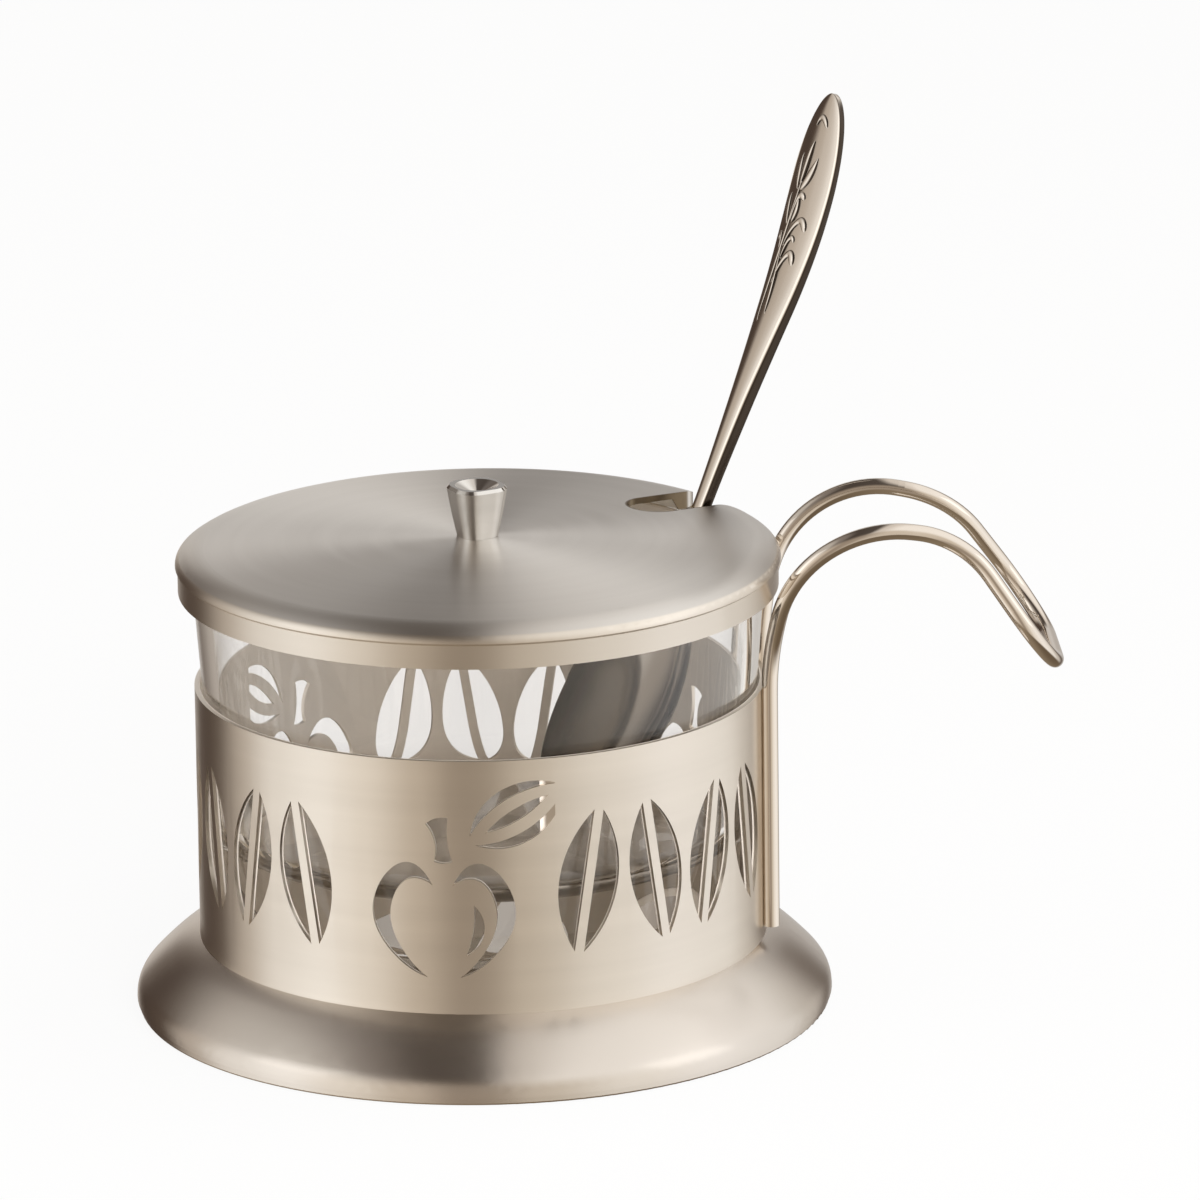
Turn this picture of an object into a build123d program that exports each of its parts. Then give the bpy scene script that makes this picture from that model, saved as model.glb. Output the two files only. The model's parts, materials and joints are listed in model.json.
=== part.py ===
from build123d import *
import os
from math import cos, degrees, radians, sin, sqrt, tan

# A honey pot: a pierced steel holder on a flared foot, with a bent wire handle, a glass bowl
# that lifts out of it, a domed lid with a notch for the spoon, and the spoon itself.
# Millimetres. Z is the pot's axis, z = 0 is the table, and the handle points along +X.

# ---- foot ----
foot_flare = 10.7           # how far the foot spreads beyond the band
foot_height = 12.1          # table to the ledge that the band stands on
foot_wall = 1.2
shoulder_slope = 0.42       # fall per mm where the flare leaves the band
hem_height = 1.3            # rolled edge that the foot stands on
hem_width = 2.6
hem_inset = 0.35            # the hem lies this much inside the foot's edge
seat_rise = 7.0             # platform that carries the glass, above the ledge
seat_corner = 1.5

# ---- band ----
band_radius = 47.2          # outside
band_height = 42.9
band_wall = 0.9
band_fit = 0.1              # band around the foot's platform

# ---- cut-outs in the band ----
apple_azimuths = (-100.3, 31.7, 131.7)
apple_below = 5.9           # band left below an apple
apple_above = 3.6           # and above its leaf
leaf_azimuths = (-47.8, 81.7, -153.3)   # middle of each row of leaves
leaf_row = 4
leaf_step = 15.4            # degrees from leaf to leaf
leaf_length = 24.0
leaf_tilt = 9.0
leaf_gap = 2.3              # band left between neighbouring leaves
leaf_rib = 1.6              # band left along the middle of a leaf

# ---- glass bowl ----
bowl_height = 56.1
bowl_taper = 0.073          # gain in radius per mm of height
bowl_fit = 0.35             # gap around the glass at the band's mouth
bowl_wall = 2.6
bowl_floor = 9.6
bowl_corner = 3.0
bowl_inner_corner = 6.0
bowl_rim_round = 0.8
bowl_seat_gap = 0.05        # glass over the foot's platform

# ---- lid ----
lid_fit = 1.25              # gap around the glass rim
lid_seat_gap = 0.05         # lid over the glass rim
lid_wall = 1.0
lid_dome = 3.3              # rise of the top above the lid's edge
dome_roll = 8.0             # roll from the dome down to the lid's edge
edge_round = 1.5            # tighter fold at the lid's widest
edge_slope = 35             # of the roll where it tightens, in degrees
edge_rise = 0.25            # the lid's widest over its seat
edge_proud = 0.4            # the lid's widest beyond the skirt
skirt_wall = 0.9
skirt_depth = 4.1           # below the seat
land_width = 4.5            # flat ring inside the skirt that meets the glass
land_slope = 1.2

# ---- spoon notch ----
notch_azimuth = 31.5
notch_clearance = 3.0       # each side of the spoon's neck
notch_depth = 19.0          # from the lid's edge inwards
notch_mouth = 4.5           # rounding of the mouth's corners

# ---- knob and its screw ----
knob_turn = 24.7
knob_foot_width = 6.2
knob_waist_width = 7.9
knob_top_width = 9.2
knob_waist_height = 4.3
knob_height = 8.6
knob_corner = 0.36          # as a share of the width
knob_edge = 0.5
knob_dish_depth = 1.8
knob_dish_radius = 3.6
screw_radius = 1.5
screw_fit = 0.05
screw_grip = 5.0            # length inside the knob
screw_end_gap = 0.5
screw_head_radius = 2.75
screw_head_height = 1.7
screw_slot_width = 0.7
screw_slot_depth = 0.8
washer_radius = 3.6
washer_height = 0.6
washer_fit = 0.1

# ---- handle ----
wire_radius = 1.35
weld_depth = 0.15           # the legs are ground this flat where they lie on the band
leg_spread = 20.2           # between the two legs
leg_gap = 1.8               # above the foot's ledge
bend_drop = 11.2            # first bend below the lid's skirt
shoulder_gap = 3.5          # from the lid's edge to the wire at its shoulder
shoulder_spread = 32.0
shoulder_rise = 25.1        # above the first bend
crest_run = 26.8
crest_drop = 4.7
crest_spread = 24.6
tip_run = 15.7
tip_drop = 22.6
tip_spread = 39.8
lower_bend = 40.0
shoulder_bend = 18.5
crest_bend = 16.5
tip_bend = 10.5

# ---- spoon ----
spoon_azimuth = 29.3
spoon_floor_gap = 0.3
spoon_rim_gap = 0.6         # from the neck to the inside of the glass rim
neck_lean = 25.0            # from vertical
top_lean = 17.0
neck_run = 51.0             # straight part of the stem
stem_bend = 22.0            # length over which the stem straightens up
scoop_lean = 34.0
scoop_length = 43.0
scoop_width = 29.0
scoop_depth = 7.5
scoop_wall = 1.2
stem_bite = 2.5             # overlap of the stem and the scoop
neck_half_width = 1.9
neck_half_thickness = 1.4
blade_half_width = 6.2      # widest part, near the top of the stem
blade_half_thickness = 0.9
# along the stem: distance, width as a share of neck to blade, and the same for thickness
stem_stations = [(0, 0.35, -0.1), (6, 0.0, 0.0), (20, 0.0, 0.1), (34, 0.17, 0.4), (44, 0.37, 0.6),
                 (56, 0.7, 0.8), (66, 0.93, 0.9), (75, 1.0, 1.0), (82, 0.74, 1.1), (88.4, -0.2, 1.6)]

# ---- levels and radii that follow ----
foot_radius = band_radius + foot_flare
seat_top = foot_height + seat_rise
band_top = foot_height + band_height
band_bore = band_radius - band_wall
seat_radius = band_bore - band_fit
bowl_bottom = seat_top + bowl_seat_gap
bowl_top = bowl_bottom + bowl_height
bowl_foot_radius = band_bore - bowl_fit - bowl_taper * (band_top - bowl_bottom)
bowl_rim_radius = bowl_foot_radius + bowl_taper * bowl_height
bowl_bore = bowl_rim_radius - bowl_wall
lid_seat = bowl_top + lid_seat_gap
lid_top = lid_seat + lid_wall + lid_dome
skirt_bore = bowl_rim_radius + lid_fit
skirt_radius = skirt_bore + skirt_wall
skirt_bottom = lid_seat - skirt_depth
lid_radius = skirt_radius + edge_proud
edge_level = lid_seat + edge_rise
lean_sin = sin(radians(edge_slope))
lean_cos = cos(radians(edge_slope))
bend_level = skirt_bottom - bend_drop
notch_width = 2 * (neck_half_width + notch_clearance)
leg_reach = sqrt((band_radius + wire_radius - weld_depth) ** 2 - (leg_spread / 2) ** 2)


def export(shape, node):
    export_step(shape, f"parts/{node}.step")


def turned(outline):
    """Solid of revolution of a closed line in the XZ plane."""
    return revolve(make_face(Plane.XZ * outline), Axis.Z)


def drum(radius, bottom, top):
    """Upright cylinder on the pot's axis between two levels."""
    return Pos(0, 0, (bottom + top) / 2) * Cylinder(radius, top - bottom)


# ---------------------------------------------------------------- foot
def foot_outline(inset, bottom):
    """From the axis over the platform and down the flare to a level, moved in by a wall."""
    top = seat_top - inset
    side = seat_radius - inset
    corner = seat_corner - inset / 2
    ledge = foot_height - inset
    flare_start = (band_radius - inset / 2, ledge)
    flare_end = (foot_radius - inset, bottom)
    across = flare_end[0] - flare_start[0]
    down = ledge - bottom
    over = Line((0, top), (side - corner, top))
    turn = RadiusArc(over @ 1, (side, top - corner), corner)
    drop = Polyline(turn @ 1, (side, ledge), flare_start)
    flare = Spline(
        flare_start,
        (flare_start[0] + 0.45 * across, ledge - 0.27 * down),
        (flare_start[0] + 0.83 * across, ledge - 0.62 * down),
        flare_end,
        tangents=((1, -shoulder_slope), (0, -1)),
    )
    back = Polyline(flare @ 1, (0, bottom), (0, top))
    return over + turn + drop + flare + back


def base_foot():
    shell = turned(foot_outline(0, hem_height)) - turned(foot_outline(foot_wall, 0))
    edge = foot_radius - hem_inset
    hem = drum(edge, 0, hem_height) - drum(edge - hem_width, 0, hem_height)
    outer_rims = hem.edges().filter_by(GeomType.CIRCLE).sort_by(SortBy.RADIUS)[-2:]
    hem = fillet(outer_rims.sort_by(Axis.Z)[0], hem_inset)
    return (shell & drum(foot_radius + foot_wall, hem_height, seat_top)) + hem


# ---------------------------------------------------------------- band and its cut-outs
def bow(start, end, rise):
    """An arc from start to end that bulges to the left of the way by rise."""
    way = Vector(*end) - Vector(*start)
    middle = (Vector(*start) + Vector(*end)) / 2
    return ThreePointArc(start, middle + Vector(-way.Y, way.X).normalized() * rise, end)


def lens(start, end, rise, fall):
    """A pointed slot between two arcs over one chord."""
    return make_face(bow(start, end, rise) + bow(end, start, fall))


def half_leaves(length, width):
    """The two halves of an upright leaf with a bare midrib, on its own centre."""
    half_width = (width - leaf_rib) / 2
    halves = []
    for side in (-1, 1):
        foot = (side * leaf_rib / 2, -length / 2)
        tip = (side * leaf_rib / 2, length / 2)
        edge = bow(foot, tip, -side * half_width)
        halves.append(make_face(edge + Line(edge @ 1, edge @ 0)))
    return halves


def apple_slots():
    """A stencilled apple drawn 100 high from its foot: sides, highlight, stem and leaf."""
    slots = []
    for side in (-1, 1):
        outer = Spline((side * 5, 48), (side * 19, 59), (side * 35, 36), (side * 25, 12), (side * 8, 1))
        inner = Spline((side * 8, 1), (side * 20, 14), (side * 26, 35), (side * 18, 50), (side * 5, 48))
        slots.append(make_face(outer + inner))
    slots.append(lens((11, 12), (15, 38), -7, 1.5))
    left, right = bow((-4, 60), (-8, 79), -2.5), bow((3, 82), (5, 60), -1.5)
    slots.append(make_face(left + bow(left @ 1, right @ 0, 1.5) + right + bow(right @ 1, left @ 0, 1)))
    slots.append(lens((21, 74.5), (51, 92.5), 3, 3))
    slots.append(lens((13.5, 73), (55.5, 98), 12, -6.5))
    slots.append(lens((16, 68.5), (58, 93.5), -6.5, 12))
    return slots


def through_band(face, azimuth, level):
    """A cutter through the band's wall, square to it at its own azimuth."""
    turn = radians(azimuth)
    outward = Vector(cos(turn), sin(turn), 0)
    plane = Plane(
        origin=outward * (band_bore - 3 * band_wall) + Vector(0, 0, level),
        x_dir=(-sin(turn), cos(turn), 0),
        z_dir=outward,
    )
    return extrude(plane * face, 6 * band_wall)


def pierced_band():
    cutters = []
    apple_size = (band_height - apple_below - apple_above) / 100
    for azimuth in apple_azimuths:
        for slot in apple_slots():
            cutters.append(through_band(scale(slot, apple_size), azimuth, foot_height + apple_below))
    leaf_level = foot_height + band_height / 2
    leaf_width = radians(leaf_step) * band_radius - leaf_gap
    for middle in leaf_azimuths:
        for place in range(leaf_row):
            azimuth = middle + (place - (leaf_row - 1) / 2) * leaf_step
            lean = leaf_tilt if place % 2 else -leaf_tilt
            for half in half_leaves(leaf_length, leaf_width):
                cutters.append(through_band(Rot(0, 0, lean) * half, azimuth, leaf_level))
    return drum(band_radius, foot_height, band_top) - drum(band_bore, foot_height, band_top) - cutters


# ---------------------------------------------------------------- glass bowl
def glass_bowl():
    floor = bowl_bottom + bowl_floor
    bore_foot = bowl_foot_radius - bowl_wall + bowl_taper * bowl_floor
    outline = FilletPolyline(
        (0, bowl_bottom),
        (bowl_foot_radius, bowl_bottom),
        (bowl_rim_radius, bowl_top),
        (bowl_bore, bowl_top),
        (bore_foot, floor),
        (0, floor),
        radius=[bowl_corner, bowl_rim_round, bowl_rim_round, bowl_inner_corner],
    )
    return turned(outline + Line(outline @ 1, outline @ 0))


# ---------------------------------------------------------------- lid
def roll_centre():
    """Radius and height of the middle of the shoulder's roll, which runs into the edge's fold."""
    inwards = dome_roll - edge_round
    return lid_radius - edge_round - inwards * lean_sin, edge_level - inwards * lean_cos


def dome_ball():
    """Radius of the sphere that the dome is part of: through the lid's top, tangent to the roll."""
    across, level = roll_centre()
    drop = lid_top - level
    return (across ** 2 + drop ** 2 - dome_roll ** 2) / (2 * (drop - dome_roll))


def dome_level(radius):
    """Height of the dome at a radius."""
    return lid_top - dome_ball() + sqrt(dome_ball() ** 2 - radius ** 2)


def lid_form():
    """The lid's outside: dome, rolled shoulder, folded edge and skirt, without its hollow."""
    across, level = roll_centre()
    start = across * dome_ball() / (dome_ball() - dome_roll)
    dome = ThreePointArc((0, lid_top), (start / 2, dome_level(start / 2)), (start, dome_level(start)))
    tight = Vector(across + dome_roll * lean_sin, level + dome_roll * lean_cos)
    shoulder = TangentArc(dome @ 1, tight, tangent=dome % 1)
    fold = TangentArc(tight, (lid_radius, edge_level), tangent=shoulder % 1)
    rest = Polyline(
        fold @ 1,
        (skirt_radius, edge_level - edge_proud),
        (skirt_radius, skirt_bottom),
        (0, skirt_bottom),
        (0, lid_top),
    )
    return turned(dome + shoulder + fold + rest)


def lid_hollow():
    land = skirt_bore - land_width
    arch = land - land_slope
    under = ThreePointArc(
        (arch, dome_level(arch) - lid_wall),
        (arch / 2, dome_level(arch / 2) - lid_wall),
        (0, lid_top - lid_wall),
    )
    wall = Polyline(under @ 1, (0, skirt_bottom), (skirt_bore, skirt_bottom), (skirt_bore, lid_seat))
    return turned(under + wall + Polyline(wall @ 1, (land, lid_seat), under @ 0))


def notch_plan():
    """The notch seen from above: a slot from beyond the lid's edge to a round inner end."""
    inner_end = lid_radius - notch_depth + notch_width / 2
    run = Rectangle(2 * notch_depth, notch_width)
    return Pos(inner_end, 0) * Circle(notch_width / 2) + Pos(inner_end + notch_depth, 0) * run


def notch_cutter():
    """What is cut from the lid: the notch with rounded corners at its mouth."""
    plate = Circle(lid_radius) - notch_plan()
    mouth = plate.vertices().sort_by(Axis.X)[-2:]
    plate = fillet(mouth, notch_mouth)
    cutter = extrude(Circle(lid_radius + notch_mouth) - plate, lid_top)
    return Rot(0, 0, notch_azimuth) * (Pos(0, 0, skirt_bottom - lid_wall) * cutter)


def lid_shell():
    screw_hole = drum(screw_radius + screw_fit, lid_seat, 2 * lid_top)
    return lid_form() - lid_hollow() - notch_cutter() - screw_hole


# ---------------------------------------------------------------- knob and its screw
def knob_section(width, level):
    return Plane.XY.offset(level) * RectangleRounded(width, width, knob_corner * width)


def lid_knob():
    body = loft([
        knob_section(knob_foot_width, 0),
        knob_section(knob_waist_width, knob_waist_height),
        knob_section(knob_top_width, knob_height),
    ])
    body = chamfer(body.faces().sort_by(Axis.Z)[-1].edges(), knob_edge)
    dish = revolve(Plane.XZ * make_face(Polyline(
        (0, knob_height - knob_dish_depth),
        (knob_dish_radius, knob_height),
        (0, knob_height),
        close=True,
    )))
    thread = drum(screw_radius + screw_fit, 0, screw_grip + screw_end_gap)
    return Pos(0, 0, lid_top) * Rot(0, 0, knob_turn) * (body - dish - thread)


def washer_level():
    """Where the washer's rim meets the underside of the dome."""
    return dome_level(washer_radius) - lid_wall


def knob_washer():
    top = washer_level()
    bottom = top - washer_height
    return drum(washer_radius, bottom, top) - drum(screw_radius + washer_fit, bottom, top)


def knob_screw():
    head_top = washer_level() - washer_height
    head_bottom = head_top - screw_head_height
    head = drum(screw_head_radius, head_bottom, head_top)
    head = fillet(head.edges().sort_by(Axis.Z)[0], 0.6 * screw_head_height)
    slot = Pos(0, 0, head_bottom) * Box(4 * screw_head_radius, screw_slot_width, 2 * screw_slot_depth)
    return head - slot + drum(screw_radius, head_top, lid_top + screw_grip)


# ---------------------------------------------------------------- handle
def handle_wire():
    shoulder_level = bend_level + shoulder_rise
    shoulder_reach = sqrt((lid_radius + shoulder_gap + wire_radius) ** 2 - (shoulder_spread / 2) ** 2)
    crest_reach = shoulder_reach + crest_run
    crest_level = shoulder_level - crest_drop
    side = [
        (leg_reach, leg_spread / 2, foot_height + leg_gap),
        (leg_reach, leg_spread / 2, bend_level),
        (shoulder_reach, shoulder_spread / 2, shoulder_level),
        (crest_reach, crest_spread / 2, crest_level),
        (crest_reach + tip_run, tip_spread / 2, crest_level - tip_drop),
    ]
    far_side = [(x, -y, z) for x, y, z in reversed(side)]
    bends = [lower_bend, shoulder_bend, crest_bend, tip_bend]
    route = FilletPolyline(*(side + far_side), radius=bends + bends[::-1])
    wire = sweep(Plane(origin=side[0], z_dir=(0, 0, 1)) * Circle(wire_radius), path=route)
    return wire - drum(band_radius, 0, bend_level)


# ---------------------------------------------------------------- spoon
def leaning(angle):
    """Unit vector that leans outwards from vertical, in the spoon's own XZ plane."""
    return Vector(sin(radians(angle)), 0, cos(radians(angle)))


def stem_start():
    """Lower end of the stem, so that the scoop clears the floor and the neck clears the rim."""
    half_height = scoop_length / 2 * cos(radians(scoop_lean))
    belly = scoop_depth * sin(radians(scoop_lean))
    scoop_level = bowl_bottom + bowl_floor + spoon_floor_gap + sqrt(half_height ** 2 + belly ** 2)
    level = scoop_level + (scoop_length / 2 - stem_bite) * cos(radians(scoop_lean))
    rim_reach = bowl_bore - spoon_rim_gap - neck_half_thickness / cos(radians(neck_lean))
    return Vector(rim_reach - (bowl_top - level) * tan(radians(neck_lean)), 0, level)


def scoop():
    """Half an ellipsoid shell, hollow on the side that faces the pot's axis."""
    outer = scale(Sphere(1), by=(scoop_length / 2, scoop_width / 2, scoop_depth))
    inner = scale(
        Sphere(1), by=(scoop_length / 2 - scoop_wall, scoop_width / 2 - scoop_wall, scoop_depth - scoop_wall)
    )
    above = Pos(0, 0, scoop_depth) * Box(2 * scoop_length, 2 * scoop_width, 2 * scoop_depth)
    middle = stem_start() - leaning(scoop_lean) * (scoop_length / 2 - stem_bite)
    hollow_side = leaning(scoop_lean - 90)
    return Plane(origin=middle, x_dir=leaning(scoop_lean), z_dir=hollow_side) * (outer - inner - above)


def stem():
    """Ovals along a route that leans out straight, then straightens up."""
    bend_radius = stem_bend / radians(neck_lean - top_lean)
    sections = []
    for distance, width_share, thickness_share in stem_stations:
        bent = min(max(distance - neck_run, 0), stem_bend)
        lean = neck_lean - degrees(bent / bend_radius)
        centre = stem_start() + leaning(neck_lean) * min(distance, neck_run)
        centre += leaning((neck_lean + lean) / 2) * 2 * bend_radius * sin(bent / bend_radius / 2)
        centre += leaning(top_lean) * max(distance - neck_run - stem_bend, 0)
        oval = Ellipse(
            neck_half_width + width_share * (blade_half_width - neck_half_width),
            neck_half_thickness + thickness_share * (blade_half_thickness - neck_half_thickness),
        )
        sections.append(Plane(origin=centre, x_dir=(0, 1, 0), z_dir=leaning(lean)) * oval)
    return loft(sections)


def spoon():
    return Rot(0, 0, spoon_azimuth) * (scoop() + stem())


os.makedirs("parts", exist_ok=True)
export(base_foot(), "base_foot")
export(pierced_band(), "pierced_band")
export(handle_wire(), "handle_wire")
export(glass_bowl(), "glass_bowl")
export(lid_shell(), "lid_shell")
export(lid_knob(), "lid_knob")
export(knob_screw(), "knob_screw")
export(knob_washer(), "knob_washer")
export(spoon(), "spoon")
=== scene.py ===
import json
import math

import bmesh
import bpy
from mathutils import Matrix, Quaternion, Vector


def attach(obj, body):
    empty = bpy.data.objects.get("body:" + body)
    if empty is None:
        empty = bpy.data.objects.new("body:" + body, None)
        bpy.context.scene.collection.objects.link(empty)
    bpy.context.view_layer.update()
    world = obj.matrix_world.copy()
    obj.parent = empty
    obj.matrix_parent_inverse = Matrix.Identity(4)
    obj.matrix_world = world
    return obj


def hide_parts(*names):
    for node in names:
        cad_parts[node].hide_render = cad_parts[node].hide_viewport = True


bl_info = {
    "name": "Honey Pot",
    "version": (1, 0, 0),
    "blender": (4, 5, 0),
    "location": "View3D > Sidebar > Honey Pot",
    "description": "Finishes the honey pot's solids, makes its spoon and lights them in a plain studio",
    "category": "Object",
}

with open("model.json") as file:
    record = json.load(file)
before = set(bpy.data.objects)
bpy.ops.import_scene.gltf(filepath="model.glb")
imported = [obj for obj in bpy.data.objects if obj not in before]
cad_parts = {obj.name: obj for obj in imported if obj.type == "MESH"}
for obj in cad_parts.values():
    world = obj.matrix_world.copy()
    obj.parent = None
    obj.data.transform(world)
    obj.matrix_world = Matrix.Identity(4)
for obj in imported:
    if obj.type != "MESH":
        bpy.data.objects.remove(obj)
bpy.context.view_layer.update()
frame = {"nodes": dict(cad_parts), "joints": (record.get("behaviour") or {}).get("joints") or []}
MM = 0.001

# the spoon's neck lies along the joint by which the spoon is drawn
JOINTS = {joint["name"]: joint for joint in frame["joints"]}
NECK = Vector(JOINTS["spoon_draw"]["axis"])
SPOON_AZIMUTH = math.atan2(NECK.y, NECK.x)
NECK_LEAN = math.atan2(math.hypot(NECK.x, NECK.y), NECK.z)

# sizes of the solids, for finishes that change from place to place
BAND_BORE = 46.3 * MM
LID_SEAT = 75.0 * MM                 # just under the ring by which the lid rests on the glass
LID_RADIUS = 49.98 * MM
NOTCH_AZIMUTH = math.radians(31.5)
NOTCH_HALF = 4.9 * MM
NOTCH_END = 35.88 * MM               # middle of the notch's round inner end

# colours that have no setting of their own
WHITE = (1.0, 1.0, 1.0)
MILL_STEEL = (0.95, 0.875, 0.79)     # inside the band
LID_UNDERSIDE_SHADE = (0.50, 0.41, 0.31)    # painted shade inside the lid
NOTCH_EDGE_SHADE = (0.23, 0.18, 0.12)       # painted shade on the notch's cut edge
NARROW_SIDE_SHADE = (0.07, 0.055, 0.044)   # painted shade on the spoon's narrow sides
# painted shade on the knob's flat top
KNOB_TOP_SHADE = (0.34, 0.32, 0.30)
GLASS_SKIN = (0.96, 0.95, 0.94)      # what one face of the glass lets through
UNBENT_LIGHT = (0.985, 0.98, 0.97)   # what it lets through of light that passes straight


# ---------------------------------------------------------------- settings
class PotFinishes(bpy.types.PropertyGroup):
    """Colours and gloss of the pot's metals and glass."""

    band_colour: bpy.props.FloatVectorProperty(
        name="Band", description="Colour of the satin band", subtype="COLOR", default=(0.88, 0.82, 0.74)
    )
    foot_colour: bpy.props.FloatVectorProperty(
        name="Foot", description="Colour of the spun foot", subtype="COLOR", default=(0.80, 0.745, 0.685)
    )
    lid_colour: bpy.props.FloatVectorProperty(
        name="Lid", description="Colour of the spun lid", subtype="COLOR", default=(0.825, 0.80, 0.765)
    )
    wire_colour: bpy.props.FloatVectorProperty(
        name="Handle", description="Colour of the handle's wire", subtype="COLOR", default=(0.84, 0.77, 0.69)
    )
    spoon_colour: bpy.props.FloatVectorProperty(
        name="Spoon", description="Colour of the spoon", subtype="COLOR", default=(0.82, 0.755, 0.68)
    )
    knob_colour: bpy.props.FloatVectorProperty(
        name="Knob", description="Colour of the polished knob", subtype="COLOR", default=(0.84, 0.82, 0.79)
    )
    glass_tint: bpy.props.FloatVectorProperty(
        name="Glass tint", description="What thick glass leaves of white light", subtype="COLOR",
        default=(0.80, 0.775, 0.745),
    )
    glass_density: bpy.props.FloatProperty(
        name="Glass density", description="How fast the tint builds up, per metre", default=28.0, min=0.0
    )


class PotSpoonSizes(bpy.types.PropertyGroup):
    """Sizes of the spoon, along its middle line from the tip of its scoop."""

    tip_reach: bpy.props.FloatProperty(
        name="Tip reach", description="From the pot's axis to the scoop's tip", unit="LENGTH",
        default=14.38 * MM,
    )
    tip_level: bpy.props.FloatProperty(
        name="Tip level", description="Height of the scoop's tip", default=29.60 * MM, unit="LENGTH"
    )
    scoop_lean: bpy.props.FloatProperty(
        name="Scoop lean", description="Lean of the scoop from vertical", unit="ROTATION",
        default=math.radians(34.0),
    )
    top_lean: bpy.props.FloatProperty(
        name="Top lean", description="Lean of the stem's end", default=math.radians(17.0), unit="ROTATION"
    )
    scoop_length: bpy.props.FloatProperty(
        name="Scoop length", description="Length of the scoop", default=43.0 * MM, unit="LENGTH"
    )
    scoop_width: bpy.props.FloatProperty(
        name="Scoop width", description="Width of the scoop", default=28.8 * MM, unit="LENGTH"
    )
    scoop_depth: bpy.props.FloatProperty(
        name="Scoop depth", description="Depth of the scoop", default=7.0 * MM, unit="LENGTH"
    )
    length: bpy.props.FloatProperty(
        name="Length", description="Length of the whole spoon", default=128.7 * MM, unit="LENGTH"
    )
    relief: bpy.props.FloatProperty(
        name="Relief", description="How far the sprig stands out of the stem", default=0.5 * MM, unit="LENGTH"
    )


class PotStudio(bpy.types.PropertyGroup):
    """Camera, floor and light."""

    distance: bpy.props.FloatProperty(
        name="Distance", description="From the camera to the pot", default=1.785, unit="LENGTH"
    )
    azimuth: bpy.props.FloatProperty(
        name="Azimuth", description="Turn of the camera round the pot", unit="ROTATION",
        default=math.radians(-2.3),
    )
    elevation: bpy.props.FloatProperty(
        name="Elevation", description="Camera above the horizon", unit="ROTATION",
        default=math.radians(17.13),
    )
    roll: bpy.props.FloatProperty(
        name="Roll", description="Turn of the camera on its own axis", unit="ROTATION",
        default=math.radians(-0.73),
    )
    focal_length: bpy.props.FloatProperty(
        name="Focal length", description="Of the lens, in millimetres", default=322.9
    )
    floor_colour: bpy.props.FloatVectorProperty(
        name="Floor", description="Colour of the floor", subtype="COLOR", default=(0.86, 0.86, 0.86)
    )
    floor_white: bpy.props.FloatProperty(
        name="Floor white", description="Share of plain white in the floor as it is seen", subtype="FACTOR",
        default=0.90,
    )


# ---------------------------------------------------------------- shader sums
class Value:
    """A shader socket that can be used in Python sums, which add Math nodes."""

    def __init__(self, tree, socket):
        self.tree = tree
        self.socket = socket

    def math(self, operation, *others):
        inputs = dict(enumerate((self, *others)))
        return self.tree.node("ShaderNodeMath", {"operation": operation}, inputs)

    def __add__(self, other):
        return self.math("ADD", other)

    def __radd__(self, other):
        return self.math("ADD", other)

    def __sub__(self, other):
        return self.math("SUBTRACT", other)

    def __rsub__(self, other):
        return self.tree.node("ShaderNodeMath", {"operation": "SUBTRACT"}, {0: other, 1: self})

    def __mul__(self, other):
        return self.math("MULTIPLY", other)

    def __rmul__(self, other):
        return self.math("MULTIPLY", other)

    def __truediv__(self, other):
        return self.math("DIVIDE", other)

    def __pow__(self, other):
        return self.math("POWER", other)

    def rise(self, low, high):
        """0 below low, 1 above high, and smooth between them."""
        return self.tree.node(
            "ShaderNodeMapRange",
            {"interpolation_type": "SMOOTHSTEP"},
            {"Value": self, "From Min": low, "From Max": high},
        )


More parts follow.
